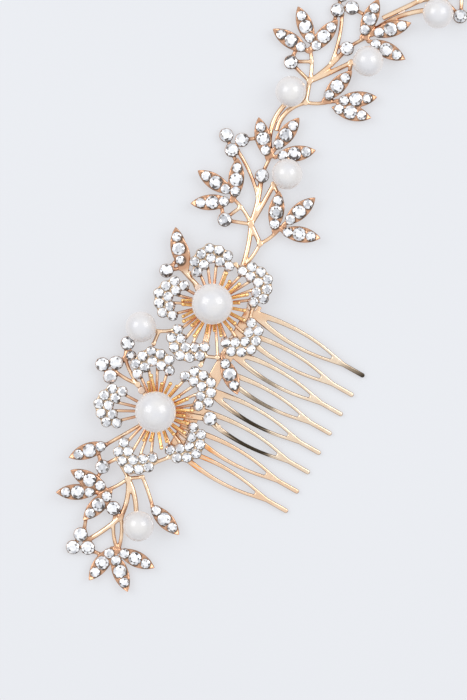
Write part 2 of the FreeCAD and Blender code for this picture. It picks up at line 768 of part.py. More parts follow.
def make_lower_sprig():
    """Hangs from the lower flower; its knuckle is at the origin and it slopes down to the table."""
    sprig = Casting()
    for leaf in (
        (-5.4, 6.7, 199), (-5.5, -0.9, 152), (-7.6, -2.2, 180), (-4.2, -3.1, 225),
        (-3.75, -14.3, 233), (-2.4, -15.7, -69), (-0.7, -14.3, -25), (5.5, -5.9, -46),
    ):
        sprig.leaf(*leaf)
    for spot in ((-5.0, 2.7), (-2.9, -5.4), (-9.3, -10.6), (-10.8, -13.1), (-7.9, -13.2)):
        sprig.cup(*spot)
    sprig.pearl_cup(2.1, -8.6)
    fork = (-1.4, -7.1, 0)
    foot = (-2.0, -13.9, 0)
    sprig.stem((0, 0.4, 0), (-0.2, -3.6, 0), fork)
    sprig.stem((0, 0.4, 0), (1.2, -2.9, 0), (1.5, -7.6, 0))
    sprig.stem((0, 0.4, 0), (-3.9, -1.8, 0), (-7.0, -2.5, 0), diameter="twig_d")
    sprig.stem((-4.9, -1.9, 0), (-4.0, -2.3, 0), diameter="twig_d")
    sprig.stem((-2.4, -6.4, 0), (-2.9, -10.0, 0), foot, diameter="twig_d")
    sprig.stem(fork, (-1.3, -10.5, 0), foot, diameter="twig_d")
    sprig.stem(fork, (-4.0, -9.2, 0), (-7.7, -11.6, 0))
    sprig.stem((-9.3, -10.6, 0), (-10.8, -13.1, 0), diameter="twig_d")
    sprig.stem(foot, (-3.2, -13.4, 0), diameter="twig_d")
    sprig.stem(foot, (-2.6, -14.4, 0), diameter="twig_d")
    sprig.stem(foot, (-1.8, -13.8, 0), diameter="twig_d")
    sprig.stem((2.8, 0.7, 0.1), (3.9, -2.2, 0), (4.8, -5.2, 0), diameter="twig_d")
    sprig.stem((0, 0.4, 0), (2.8, 0.7, 0.1), diameter="twig_d")
    sprig.stem((-4.3, 7.0, -0.1), (3.6, 11.5, -0.7), diameter="twig_d")
    sprig.stem((-2.2, 4.3, 0), (-4.2, 3.3, 0), diameter="twig_d")
    sprig.stem((-2.2, 4.3, 0), (-0.9, 2.2, 0), (0, 0.4, 0), diameter="twig_d")
    sprig.stem((-5.4, 3.6, 0), (-5.9, 5.9, 0), diameter="twig_d")
    sprig.stem((-5.2, 1.8, 0), (-6.3, 0.2, 0.1), diameter="twig_d")
    sprig.stem((-8.2, -7.2, 0.7), (-8.6, -9.6, 0), diameter="twig_d")
    sprig.stem((-6.9, -13.9, 0), (-5.2, -14.6, 0.1), diameter="twig_d")
    head_y = -14.5
    slope = (size("sprig_level") - size("vine_level")) / -head_y
    tilt = Rotation(Vector(1, 0, 0), math.degrees(math.atan(slope)))
    finish_casting(sprig, "lower_sprig", Placement(Vector(-17.9, -19.2, size("sprig_level")), tilt))


def make_side_sprig():
    """A pearl, three round stones and two more on stems from the lower flower's hub."""
    sprig = Casting()
    sprig.pearl_cup(-2.9, 16.5)
    for spot in ((-5.6, 13.3), (-10.5, 9.2), (-7.8, 9.5), (-9.0, 6.8)):
        sprig.cup(*spot)
    sprig.cup(-4.9, 10.9, "small")
    sprig.stem((-2.0, 3.2, 0), (-3.6, 5.3, 0))
    sprig.stem((-3.6, 5.3, 0), (-5.0, 7.6, 0), (-6.1, 10.5, 0), diameter="twig_d")
    sprig.stem((-3.6, 5.3, 0), (-5.4, 6.1, 0), (-8.1, 7.9, 0), diameter="twig_d")
    sprig.stem((-6.1, 10.5, 0), (-5.8, 12.4, 0), diameter="twig_d")
    sprig.stem((-6.1, 10.5, 0), (-7.0, 9.9, 0), diameter="twig_d")
    sprig.stem((-4.9, 14.2, 0), (-3.4, 15.9, 0), diameter="twig_d")
    sprig.stem((-2.9, 16.5, 0), (0.5, 15.7, 0), (3.5, 15.9, 0), diameter="twig_d")
    sprig.stem((0.5, 15.6, 0), (-0.5, 13.2, 0), diameter="twig_d")
    place = Placement(Vector(*LOWER_CENTRE, size("sprig_level")), Rotation())
    finish_casting(sprig, "side_sprig", place)


def make_leaf_sprig():
    """A paved leaf, a plain leaf beside it and a lone stone, from the upper flower's hub."""
    sprig = Casting()
    sprig.leaf(-6.3, 8.7, 98)
    sprig.leaf(-5.5, 7.3, 100, paved=False)
    sprig.cup(-9.0, 6.6)
    sprig.stem((-2.0, 2.6, 0), (-6.1, 7.1, 0))
    sprig.stem((-2.6, 2.0, 0), (-4.6, 6.2, 0), diameter="twig_d")
    sprig.stem((-6.1, 7.1, 0), (-8.0, 6.8, 0), diameter="twig_d")
    sprig.stem((-7.9, 7.6, 0), (-6.8, 9.0, 0.1), diameter="twig_d")
    place = Placement(Vector(*UPPER_CENTRE, size("sprig_level")), Rotation())
    finish_casting(sprig, "leaf_sprig", place)


def make_inner_leaf():
    """A single paved leaf between the flowers, over the comb's spine."""
    sprig = Casting()
    sprig.leaf(1.1, 3.6, -68)
    sprig.stem((0.6, 4.9, 0), (0.7, 5.7, 0), diameter="twig_d")
    level = size("flower_level") + size("plate_thickness") / 2
    finish_casting(sprig, "inner_leaf", Placement(Vector(0, 0, level), Rotation()))


# ---------------------------------------------------------------- solder

def solder_pad(x, y, low, high, diameter):
    return Part.makeCylinder(diameter / 2, high - low, Vector(x, y, low))


def finish_solder(name, pads, neighbours):
    """Solder fills the space that its neighbours leave inside each pad."""
    metals = [node.Shape for node in nodes if node.Label in neighbours]
    joints = []
    for pad in pads:
        left = pad.cut(metals)
        joints.extend(solid for solid in left.Solids if solid.Volume > 0.02)
    feature_of(Part.makeCompound(joints), name, Placement())


def make_solder():
    spine_top = size("spine_lift") + size("comb_thickness")
    back = size("flower_level")
    comb_spots = ((6.4, 14.9), (2.8, 8.2), (-1.9, -0.6), (-6.9, -10.3))
    comb_pad_d = 2.2
    comb_pads = [solder_pad(x, y, spine_top, back + 0.5, comb_pad_d) for x, y in comb_spots]
    finish_solder("comb_solder", comb_pads, ("upper_flower", "lower_flower"))

    flower_spots = ((4.3, 22.3), (-17.5, -17.4), (-15.2, -1.6), (-4.1, 18.4), (0.2, 5.0))
    flower_pad_d = 1.5
    flower_pads = [solder_pad(x, y, back - 0.5, back + 0.35, flower_pad_d) for x, y in flower_spots]
    neighbours = ("upper_flower", "lower_flower", "vine_sprig_1", "lower_sprig", "side_sprig",
                  "leaf_sprig", "inner_leaf", "comb_plate")
    finish_solder("sprig_solder", flower_pads, neighbours)

    vine_level = size("vine_level")
    laps = ((11.4, 51.6), (35.6, 72.4))
    vine_pad_d = 1.6
    vine_pads = [solder_pad(x, y, vine_level - 0.4, vine_level + 0.35, vine_pad_d) for x, y in laps]
    finish_solder("vine_solder", vine_pads, ("vine_sprig_1", "vine_sprig_2", "vine_sprig_3"))


# ---------------------------------------------------------------- the whole comb

make_comb_plate()
make_flowers()
eyelet_centre = make_vine()
make_lower_sprig()
make_side_sprig()
make_leaf_sprig()
make_inner_leaf()
doc.recompute()
make_solder()
doc.recompute()

# The origin goes to the middle of the footprint, on the table.
whole = FreeCAD.BoundBox()
for node in nodes:
    whole.add(node.Shape.optimalBoundingBox())
shift = Vector(-whole.Center.x, -whole.Center.y, -whole.ZMin)
for node in nodes:
    node.Placement.Base = node.Placement.Base.add(shift)
doc.recompute()

for item in doc.Objects:
    if "Invalid" in item.State or "Error" in item.State:
        raise RuntimeError(f"{item.Name} did not recompute: {item.State}")
for node in nodes:
    if node.Shape.isNull() or not node.Shape.isValid():
        raise RuntimeError(f"{node.Label} has no valid shape")

for node in nodes:
    node.Shape.exportStep(f"parts/{node.Label}.step")
print(len(nodes), "sub-parts,", whole.XLength, whole.YLength, whole.ZLength, "mm")
print("eyelet centre", eyelet_centre.add(shift))
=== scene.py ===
import math
import random

import bmesh
import bpy
from mathutils import Matrix, Vector, kdtree


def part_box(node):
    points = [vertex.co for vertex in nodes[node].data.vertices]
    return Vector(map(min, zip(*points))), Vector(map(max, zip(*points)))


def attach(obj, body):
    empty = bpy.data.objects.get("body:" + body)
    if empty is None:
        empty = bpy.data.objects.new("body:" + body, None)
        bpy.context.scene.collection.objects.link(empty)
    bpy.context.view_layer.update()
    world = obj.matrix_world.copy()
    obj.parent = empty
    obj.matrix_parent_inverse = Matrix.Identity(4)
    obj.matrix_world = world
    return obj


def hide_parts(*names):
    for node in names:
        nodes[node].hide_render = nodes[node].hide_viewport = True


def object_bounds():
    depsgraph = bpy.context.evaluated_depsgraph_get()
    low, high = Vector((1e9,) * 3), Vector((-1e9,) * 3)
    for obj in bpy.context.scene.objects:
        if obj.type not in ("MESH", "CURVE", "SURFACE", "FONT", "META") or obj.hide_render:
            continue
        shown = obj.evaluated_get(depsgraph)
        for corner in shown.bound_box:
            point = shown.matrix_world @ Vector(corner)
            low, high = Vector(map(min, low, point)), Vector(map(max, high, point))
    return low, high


# A decorative hair comb lying on a pale table, seen from above: cast and polished rose-gold sprigs
# and flowers set with cut stones, pearls on dished pegs, and a pale gold comb behind the flowers.
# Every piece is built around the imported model, in metres.

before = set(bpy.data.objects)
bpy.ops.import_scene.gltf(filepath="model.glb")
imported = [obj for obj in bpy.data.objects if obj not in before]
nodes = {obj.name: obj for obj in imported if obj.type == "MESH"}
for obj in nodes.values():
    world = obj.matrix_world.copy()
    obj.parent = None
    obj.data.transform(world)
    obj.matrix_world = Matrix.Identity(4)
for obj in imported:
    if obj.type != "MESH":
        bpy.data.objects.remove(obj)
cad_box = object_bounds()
MM = 0.001
STONE_NODES = [name for name in sorted(nodes) if name.endswith("_stones")]
PEARL_NODES = [name for name in sorted(nodes) if "pearl" in name and "dish" not in name]


def middle(name):
    """The middle of a node's box."""
    low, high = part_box(name)
    return (Vector(low) + Vector(high)) / 2


def smooth_step(value, low, high):
    """0 up to low, 1 from high on, and a smooth rise between them."""
    share = min(1.0, max(0.0, (value - low) / (high - low)))
    return share * share * (3 - 2 * share)


def lower_right(away):
    """How far a vector points to the lower right: at most the root of 2 times its length."""
    return away.x - away.y


# ---------------------------------------------------------------- mesh helpers

def node_shape(name, gap):
    """A node's shape to work on, with points closer than the gap merged."""
    work = bmesh.new()
    work.from_mesh(nodes[name].data)
    bmesh.ops.remove_doubles(work, verts=work.verts, dist=gap)
    return work


def connected(items, neighbours):
    """The items in groups, each joined up through its neighbours."""
    seen = set()
    groups = []
    for start in items:
        if start in seen:
            continue
        seen.add(start)
        group = []
        waiting = [start]
        while waiting:
            current = waiting.pop()
            group.append(current)
            for near in neighbours(current):
                if near not in seen:
                    seen.add(near)
                    waiting.append(near)
        groups.append(group)
    return groups


def faces_beside(face):
    return [near for edge in face.edges for near in edge.link_faces]


def corners_beside(corner):
    return [edge.other_vert(corner) for edge in corner.link_edges]


def finished_mesh(work, name):
    mesh = bpy.data.meshes.new(name)
    work.to_mesh(mesh)
    work.free()
    return mesh


def paint(mesh, name, values):
    """A value at each point of a mesh, which a material reads by its name."""
    layer = mesh.attributes.new(name, "FLOAT", "POINT")
    layer.data.foreach_set("value", list(values))


def add_piece(mesh, node_name):
    """A visible piece that takes its mesh's name and stands for a node."""
    piece = bpy.data.objects.new(mesh.name, mesh)
    bpy.context.scene.collection.objects.link(piece)
    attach(piece, "root")
    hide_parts(node_name)


# ---------------------------------------------------------------- shader helpers

def new_material(name):
    material = bpy.data.materials.new(name)
    material.use_nodes = True
    tree = material.node_tree
    shader = tree.nodes["Principled BSDF"]
    return material, tree, shader


def noise_map(tree, scale, detail):
    """Noise over the object's own coordinates; scale is in features per metre."""
    coordinates = tree.nodes.new("ShaderNodeTexCoord")
    noise = tree.nodes.new("ShaderNodeTexNoise")
    noise.inputs["Scale"].default_value = scale
    noise.inputs["Detail"].default_value = detail
    tree.links.new(coordinates.outputs["Object"], noise.inputs["Vector"])
    return noise.outputs["Fac"]


def spread(tree, value, low, high, out_low=0.0, out_high=1.0):
    """A value's range low to high stretched over another range, and clamped."""
    ramp = tree.nodes.new("ShaderNodeMapRange")
    ramp.inputs["From Min"].default_value = low
    ramp.inputs["From Max"].default_value = high
    ramp.inputs["To Min"].default_value = out_low
    ramp.inputs["To Max"].default_value = out_high
    tree.links.new(value, ramp.inputs["Value"])
    return ramp.outputs["Result"]


def mixed(tree, factor, first, second):
    """Two colours, or a colour output and a colour, mixed by a factor."""
    mix = tree.nodes.new("ShaderNodeMix")
    mix.data_type = "RGBA"
    tree.links.new(factor, mix.inputs["Factor"])
    for socket, colour in ((mix.inputs[6], first), (mix.inputs[7], second)):
        if isinstance(colour, tuple):
            socket.default_value = (*colour, 1)
        else:
            tree.links.new(colour, socket)
    return mix.outputs[2]


def upward_part(tree, vector):
    split = tree.nodes.new("ShaderNodeSeparateXYZ")
    tree.links.new(vector, split.inputs["Vector"])
    return split.outputs["Z"]


def vary_roughness(tree, shader, noise, low, high):
    tree.links.new(spread(tree, noise, 0.3, 0.7, low, high), shader.inputs["Roughness"])


def bump(tree, shader, height, strength, distance):
    node = tree.nodes.new("ShaderNodeBump")
    node.inputs["Strength"].default_value = strength
    node.inputs["Distance"].default_value = distance
    tree.links.new(height, node.inputs["Height"])
    tree.links.new(node.outputs["Normal"], shader.inputs["Normal"])


def painted(tree, name):
    """The values that paint() gave the mesh under a name."""
    node = tree.nodes.new("ShaderNodeAttribute")
    node.attribute_name = name
    return node.outputs["Fac"]


# ---------------------------------------------------------------- materials

# The colour of the painted shade in the gaps round the stones and of the painted dark reflections on the
# comb.
PAINTED_SHADE_AND_REFLECTION_COLOUR = (0.055, 0.042, 0.028)
STEEPEST_SHADE = 0.9          # how much of the edge colour, a painted shade, the steepest sides take


def metal(name, pale, warm, reflection_colour, edge, roughness, dents=0.35, sides=(0.8, 0.3)):
    """Plated cast metal: pale and warm gold in soft clouds, with a painted reflection in its third
    colour and painted shade and dark reflection in a dark colour where the mesh's painted values ask
    for them, and polishing marks. The edge colour is painted shade on the steep sides: it comes in
    between the two values of sides, which the upward part of the normal takes on steeper and
    steeper sides."""
    material, tree, shader = new_material(name)
    clouds = spread(tree, noise_map(tree, scale=420, detail=3), 0.36, 0.66)
    body = mixed(tree, clouds, pale, warm)
    # A painted reflection, as much as the mesh's painted values give.
    body = mixed(tree, painted(tree, "painted_reflection"), body, reflection_colour)
    # The steep sides take the edge colour as painted shade.
    geometry = tree.nodes.new("ShaderNodeNewGeometry")
    upward = upward_part(tree, geometry.outputs["Normal"])
    body = mixed(tree, spread(tree, upward, *sides, 0.0, STEEPEST_SHADE), body, edge)
    # Painted shade and dark reflection, as much as the mesh's painted values give.
    body = mixed(tree, painted(tree, "painted_shade_and_reflection"), body, PAINTED_SHADE_AND_REFLECTION_COLOUR)
    tree.links.new(body, shader.inputs["Base Color"])
    shader.inputs["Metallic"].default_value = 1.0
    wear = noise_map(tree, scale=1900, detail=4)
    vary_roughness(tree, shader, wear, roughness * 0.7, roughness * 1.5)
    bump(tree, shader, noise_map(tree, scale=1500, detail=3), strength=dents, distance=0.06 * MM)
    return material


def pearl_material():
    """Nacre: a grey-white body with a faint warm and cool drift under a clear coat, and a painted warm
    reflection at its rim.
    """
    material, tree, shader = new_material("pearl_nacre")
    drift = spread(tree, noise_map(tree, scale=260, detail=2), 0.35, 0.65)
    body = mixed(tree, drift, (0.64, 0.64, 0.665), (0.69, 0.675, 0.665))
    # A lighter, warmer rim where the surface turns away from the view: a painted reflection.
    layer = tree.nodes.new("ShaderNodeLayerWeight")
    layer.inputs["Blend"].default_value = 0.4
    body = mixed(tree, spread(tree, layer.outputs["Facing"], 0.15, 0.8), body, (0.82, 0.76, 0.73))
    tree.links.new(body, shader.inputs["Base Color"])
    vary_roughness(tree, shader, noise_map(tree, scale=5200, detail=2), 0.26, 0.38)
    shader.inputs["Specular IOR Level"].default_value = 0.6
    shader.inputs["Coat Weight"].default_value = 0.8
    shader.inputs["Coat Roughness"].default_value = 0.07
    shader.inputs["Sheen Weight"].default_value = 0.12
    bump(tree, shader, noise_map(tree, scale=900, detail=3), strength=0.12, distance=0.03 * MM)
    return material


def stone_material(name, first, second, roughness):
    """One painted tone of light on the facets of foil-backed cut glass: the tones stand for glints,
    half shade, dark reflections and the girdle's shadow.
    """
    material, tree, shader = new_material(name)
    patches = spread(tree, noise_map(tree, scale=1700, detail=2), 0.4, 0.6)
    tree.links.new(mixed(tree, patches, first, second), shader.inputs["Base Color"])
    shader.inputs["Metallic"].default_value = 0.5
    marks = noise_map(tree, scale=6000, detail=2)
    vary_roughness(tree, shader, marks, roughness * 0.6, roughness * 1.4)
    shader.inputs["Coat Weight"].default_value = 1.0
    shader.inputs["Coat Roughness"].default_value = 0.03
    bump(tree, shader, noise_map(tree, scale=2600, detail=2), strength=0.05, distance=0.03 * MM)
    return material


# The third colour of each metal is its painted reflection, and the fourth, its edge colour, is the
# painted shade and reflection of its steep sides.
CASTING = metal("rose_gold_casting", pale=(1.0, 0.77, 0.55), warm=(0.98, 0.67, 0.43),
                reflection_colour=(0.62, 0.33, 0.20), edge=(0.46, 0.24, 0.13), roughness=0.16)
STAMEN = metal("rose_gold_stamens", pale=(1.0, 0.80, 0.48), warm=(1.0, 0.70, 0.34),
               reflection_colour=(1.0, 0.58, 0.20), edge=(0.90, 0.45, 0.16), roughness=0.17, dents=0.12)
COMB = metal("champagne_gold_comb", pale=(0.92, 0.755, 0.575), warm=(0.84, 0.64, 0.46),
             reflection_colour=(0.97, 0.40, 0.12), edge=(0.32, 0.18, 0.10), roughness=0.20, sides=(0.88, 0.5))
SOLDER = metal("solder", pale=(0.84, 0.70, 0.60), warm=(0.76, 0.58, 0.46),
               reflection_colour=(0.6, 0.4, 0.3), edge=(0.40, 0.26, 0.18), roughness=0.38)
PEARL = pearl_material()
# The girdle's painted shadow, then the crown's painted glint, painted half shade and painted dark
# reflection.
STONES = (
    stone_material("stone_girdle_painted_shadow", (0.12, 0.09, 0.07), (0.18, 0.14, 0.11), roughness=0.20),
    stone_material("stone_painted_glint", (0.97, 0.97, 0.97), (0.84, 0.85, 0.88), roughness=0.06),
    stone_material("stone_painted_half_shade", (0.50, 0.51, 0.54), (0.70, 0.71, 0.74), roughness=0.07),
    stone_material("stone_painted_dark_reflection", (0.07, 0.06, 0.06), (0.20, 0.18, 0.17), roughness=0.10),
)
BRIGHT, SOFT, DARK = 1, 2, 3        # the crown's painted glint, half shade and dark reflection in STONES; a new face has the girdle's painted shadow, 0


# ---------------------------------------------------------------- cut stones

def islands(name):
    """The separate closed pieces of a node's mesh, each as (points, flat-top normal)."""
    work = node_shape(name, gap=2e-6)
    found = []
    for group in connected(work.faces, faces_beside):
        top = max(group, key=lambda face: face.normal.z)
        points = {corner: corner.co.copy() for face in group for corner in face.verts}
        found.append((list(points.values()), top.normal.copy()))
    work.free()
    return found


RIM_SHARE = 0.98        # a stone's points from this share of its radius on are its widest line


def seats(name):
    """Each stone of a node as (centre of its widest line, axis, radius)."""
    found = []
    for points, axis in islands(name):
        centre = sum(points, Vector()) / len(points)
        radii = [((point - centre) - axis * (point - centre).dot(axis)).length for point in points]
        radius = max(radii)
        rim = [point for point, reach in zip(points, radii) if reach > RIM_SHARE * radius]
        level = sum((point - centre).dot(axis) for point in rim) / len(rim)
        ring = sum((point - axis * (point - centre).dot(axis) for point in rim), Vector()) / len(rim)
        found.append((ring + axis * level, axis, radius))
    return found


def seat_matrix(centre, axis):
    """From a stone's own coordinates, with its axis up, to its seat."""
    basis = Vector((0, 0, 1)).rotation_difference(axis).to_matrix().to_4x4()
    return Matrix.Translation(centre) @ basis


SEATS = {name: seats(name) for name in STONE_NODES}
STONE_TILT = 0.05       # how far the stones lean in their seats, in radians
FACETS = 8
# The rings of points of a cut stone of radius 1, from its table down, each as (radius, height).
TABLE_RING = (0.56, 0.30)
CROWN_RING = (0.82, 0.21)
GIRDLE_TOP = (1.0, 0.08)
GIRDLE_FOOT = (1.0, -0.02)
PAVILION_RING = (0.55, -0.29)
CULET_RING = (0.24, -0.50)
# The shares of each kind of crown face painted as a dark reflection, and the share painted as half shade.
LARGE_STONE = 1.1 * MM
LARGE_STAR_DARK = 0.30
STAR_DARK = 0.16
KITE_DARK = 0.10
HALF_DARK = 0.22
SOFT_SHARE = 0.34
LEAN_DARK = 0.30        # how much more of the faces that lean to the lower right are painted dark, as painted shade
ROOT_2 = 1.41


def ring_of(work, place, count, ring, turn):
    radius, height = ring
    points = []
    for index in range(count):
        angle = math.tau * index / count + turn
        point = Vector((radius * math.cos(angle), radius * math.sin(angle), height))
        points.append(work.verts.new(place @ point))
    return points


def cut_stone(work, centre, axis, radius, chance):
    """A round brilliant: table, stars, kites, half facets, girdle and pavilion. The crown's faces
    take one of three painted tones of light, a glint, half shade and a dark reflection, the dark
    more often on the lower right as painted shade; the girdle and the hidden pavilion stay at
    material 0, whose dark colour is the girdle's painted shadow."""
    turn = chance.uniform(0, math.tau)
    half = math.pi / FACETS
    place = seat_matrix(centre, axis) @ Matrix.Scale(radius, 4)
    table = ring_of(work, place, FACETS, TABLE_RING, turn)
    crown = ring_of(work, place, FACETS, CROWN_RING, turn + half)
    upper = ring_of(work, place, 2 * FACETS, GIRDLE_TOP, turn)
    lower = ring_of(work, place, 2 * FACETS, GIRDLE_FOOT, turn)
    pavilion = ring_of(work, place, FACETS, PAVILION_RING, turn + half)
    culet = ring_of(work, place, FACETS, CULET_RING, turn)
    star_dark = LARGE_STAR_DARK if radius > LARGE_STONE else STAR_DARK
    # Each crown face with the share of such faces that take the painted dark reflection.
    faces = [(work.faces.new(table), 0)]
    for index in range(FACETS):
        before = (index - 1) % FACETS
        after = (index + 1) % FACETS
        corner = 2 * index
        between = corner + 1
        follow = (corner + 2) % (2 * FACETS)
        for points, dark_share in (
            ((table[index], crown[index], table[after]), star_dark),
            ((table[index], crown[before], upper[corner], crown[index]), KITE_DARK),
            ((crown[index], upper[corner], upper[between]), HALF_DARK),
            ((crown[index], upper[between], upper[follow]), HALF_DARK),
        ):
            faces.append((work.faces.new(points), dark_share))
        for points in (
            (upper[corner], lower[corner], lower[between], upper[between]),
            (upper[between], lower[between], lower[follow], upper[follow]),
            (lower[corner], pavilion[before], pavilion[index]),
            (lower[corner], pavilion[index], lower[between]),
            (lower[between], pavilion[index], lower[follow]),
            (pavilion[index], culet[index], culet[after]),
            (pavilion[before], culet[index], pavilion[index]),
        ):
            work.faces.new(points)
    work.faces.new(culet)
    # Each crown face takes one of the painted glint, half shade and dark reflection, the dark more often
    # on the lower right as painted shade.
    for face, dark_share in faces:
        leaning = lower_right(face.calc_center_median() - centre) / (radius * ROOT_2)
        roll = chance.random() - LEAN_DARK * max(0.0, leaning)
        if roll < dark_share:
            face.material_index = DARK
        elif roll < dark_share + SOFT_SHARE:
            face.material_index = SOFT
        else:
            face.material_index = BRIGHT


def make_stones(name):
    chance = random.Random(name)
    work = bmesh.new()
    for centre, axis, radius in SEATS[name]:
        askew = Vector((chance.gauss(0, STONE_TILT), chance.gauss(0, STONE_TILT), 0))
        cut_stone(work, centre, (axis + askew).normalized(), radius, chance)
    bmesh.ops.recalc_face_normals(work, faces=work.faces)
    mesh = finished_mesh(work, name + "_cut")
    for material in STONES:
        mesh.materials.append(material)
    add_piece(mesh, name)


# ---------------------------------------------------------------- castings

CLAWS = 4
CLAW_RADIUS = 0.15 * MM
CLAW_REACH = 1.02           # in stone radii
# The metal in the gaps round the stones is painted dark as shade up to the first distance from a
# stone's edge and plain from the second. All of it has the least shade, and the lean's comes on the
# lower right.
GAP_SHADE = (0.12 * MM, 0.42 * MM)
LEAST_SHADE = 0.30
LEAN_SHADE = 0.55
LEAN_SPAN = 1.42            # a little over the root of 2
SPECK = 100                 # a remesh can leave closed specks, each with fewer corners than this
DEEPEST = 0.9               # how much of its painted reflection colour a casting takes at most
# How far from a stone's middle, and from a flower's pearl, that painted reflection starts to fade and is
# gone.
LEAF_GLOW = (1.6 * MM, 3.0 * MM)
HUB_GLOW = (4.0 * MM, 9.0 * MM)


def stones_of(casting):
    """All the stones that are set in a casting."""
    found = []
    for kind in ("small", "large"):
        found.extend(SEATS.get(f"{casting}_{kind}_stones", []))
    return found


def add_claws(work, stones):
    """Little round claws round each stone, at its edge."""
    for centre, axis, radius in stones:
        reach = CLAW_REACH * radius
        for index in range(CLAWS):
            angle = math.tau * (index + 0.5) / CLAWS
            spot = Vector((reach * math.cos(angle), reach * math.sin(angle), 0))
            place = seat_matrix(centre, axis) @ Matrix.Translation(spot)
            bmesh.ops.create_icosphere(work, subdivisions=2, radius=CLAW_RADIUS, matrix=place)


def tree_of(stones):
    """A tree that finds the stone nearest to a point."""
    tree = kdtree.KDTree(len(stones))
    for index, stone in enumerate(stones):
        tree.insert(stone[0], index)
    tree.balance()
    return tree


def unmarked(point):
    return 0.0


def settings_shade(stones):
    """How much painted shade the metal takes in the narrow gaps round the stones."""
    if not stones:
        return unmarked
    tree = tree_of(stones)

    def shade(point):
        centre, index, distance = tree.find(point)
        radius = stones[index][2]
        away = (point - centre) / max(distance, 1e-6)
        lean = 0.5 + 0.5 * lower_right(away) / LEAN_SPAN
        near = 1 - smooth_step(distance, radius + GAP_SHADE[0], radius + GAP_SHADE[1])
        return (LEAST_SHADE + LEAN_SHADE * lean) * near

    return shade


def painted_leaf_reflection(name):
    """A painted rose-brown reflection round the stones, pale along the stems."""
    tree = tree_of(stones_of(name))

    def painted_reflection(point):
        return DEEPEST * (1 - smooth_step(tree.find(point)[2], *LEAF_GLOW))

    return painted_reflection


def painted_hub_reflection(pearl):
    """A painted orange reflection and shade close to the pearl, paler out towards the petals."""
    centre = middle(pearl)

    def painted_reflection(point):
        reach = math.hypot(point.x - centre.x, point.y - centre.y)
        return DEEPEST * (1 - smooth_step(reach, *HUB_GLOW))

    return painted_reflection


def drop_specks(mesh):
    work = bmesh.new()
    work.from_mesh(mesh)
    for group in connected(work.verts, corners_beside):
        if len(group) < SPECK:
            bmesh.ops.delete(work, geom=group, context="VERTS")
    work.to_mesh(mesh)
    work.free()


def softened(rough, voxel, smooth_steps):
    """A rough mesh remeshed and relaxed, so that its corners round over."""
    shape = bpy.data.objects.new("rough_shape", rough)
    bpy.context.scene.collection.objects.link(shape)
    remesh = shape.modifiers.new("soften", "REMESH")
    remesh.mode = "VOXEL"
    remesh.voxel_size = voxel
    relax = shape.modifiers.new("relax", "SMOOTH")
    relax.factor = 0.5
    relax.iterations = smooth_steps
    graph = bpy.context.evaluated_depsgraph_get()
    mesh = bpy.data.meshes.new_from_object(shape.evaluated_get(graph))
    bpy.data.objects.remove(shape)
    bpy.data.meshes.remove(rough)
    drop_specks(mesh)
    return mesh


def cast(name, material, voxel, smooth_steps, painted_reflection=unmarked, bend=None):
    """A node's shape with its corners softened as cast and polished metal has them. The voxel is
    in millimetres, and bend moves points after the remesh."""
    work = node_shape(name, gap=1e-6)
    stones = stones_of(name)
    add_claws(work, stones)
    # The remesh works in millimetres, because its smallest voxel is a tenth of one in metres.
    bmesh.ops.scale(work, vec=(1 / MM, 1 / MM, 1 / MM), verts=work.verts)
    mesh = softened(finished_mesh(work, "rough_shape"), voxel, smooth_steps)
    mesh.name = name + "_cast"
    mesh.transform(Matrix.Scale(MM, 4))
    if bend:
        for vertex in mesh.vertices:
            vertex.co = bend(vertex.co)
    mesh.shade_smooth()
    mesh.materials.append(material)
    # Each point's share of painted reflection, and of painted shade in the gaps round the stones.
    shade = settings_shade(stones)
    paint(mesh, "painted_reflection", [painted_reflection(vertex.co) for vertex in mesh.vertices])
    paint(mesh, "painted_shade_and_reflection", [shade(vertex.co) for vertex in mesh.vertices])
    add_piece(mesh, name)


# Each flower's fan of stamens: first and last heading in degrees, and the gaps between them.
STAMEN_FANS = {"upper": (-192, 64, 17), "lower": (-112, 108, 15)}
# The ranges of a stamen's turn in radians, its stretch as a share of its reach, and its tip's rise.
TURNS = (-0.09, 0.09)
STRETCHES = (-0.10, 0.05)
RISES = (-0.2, 0.25)        # in millimetres
BEND_SPAN = (2.6 * MM, 7.2 * MM)


def stamen_bend(side):
    """Bends each stamen a little aside, up or down, and longer or shorter, most at its tip."""
    centre = middle(f"{side}_pearl")
    first, last, gaps = STAMEN_FANS[side]
    chance = random.Random(side)
    bends = [(chance.uniform(*TURNS), chance.uniform(*STRETCHES), chance.uniform(*RISES) * MM)
             for rod in range(gaps + 1)]

    def bend(point):
        away = (point - centre).xy
        heading = math.degrees(math.atan2(away.y, away.x))
        past = (heading - first) % 360
        rod = min(gaps, max(0, round(past * gaps / (last - first))))
        if past > 180 + (last - first) / 2:         # just before the first one
            rod = 0
        turn, stretch, rise = bends[rod]
        share = smooth_step(away.length, *BEND_SPAN)
        away.rotate(Matrix.Rotation(turn * share, 2))
        away *= 1 + stretch * share
        return Vector((centre.x + away.x, centre.y + away.y, point.z + rise * share))

    return bend


SPRIGS = ("vine_sprig_1", "vine_sprig_2", "vine_sprig_3", "lower_sprig", "side_sprig", "leaf_sprig",
          "inner_leaf")


def make_castings():
    for side in ("upper", "lower"):
        glow = painted_hub_reflection(f"{side}_pearl")
        cast(f"{side}_flower", CASTING, voxel=0.13, smooth_steps=2, painted_reflection=glow)
        cast(f"{side}_stamens", STAMEN, voxel=0.11, smooth_steps=4, painted_reflection=glow,
             bend=stamen_bend(side))
        cast(f"{side}_pearl_dish", STAMEN, voxel=0.1, smooth_steps=2)
    for name in SPRIGS:
        cast(name, CASTING, voxel=0.13, smooth_steps=3, painted_reflection=painted_leaf_reflection(name))
    for name in ("comb_solder", "sprig_solder", "vine_solder"):
        cast(name, SOLDER, voxel=0.1, smooth_steps=3)


# ---------------------------------------------------------------- the comb

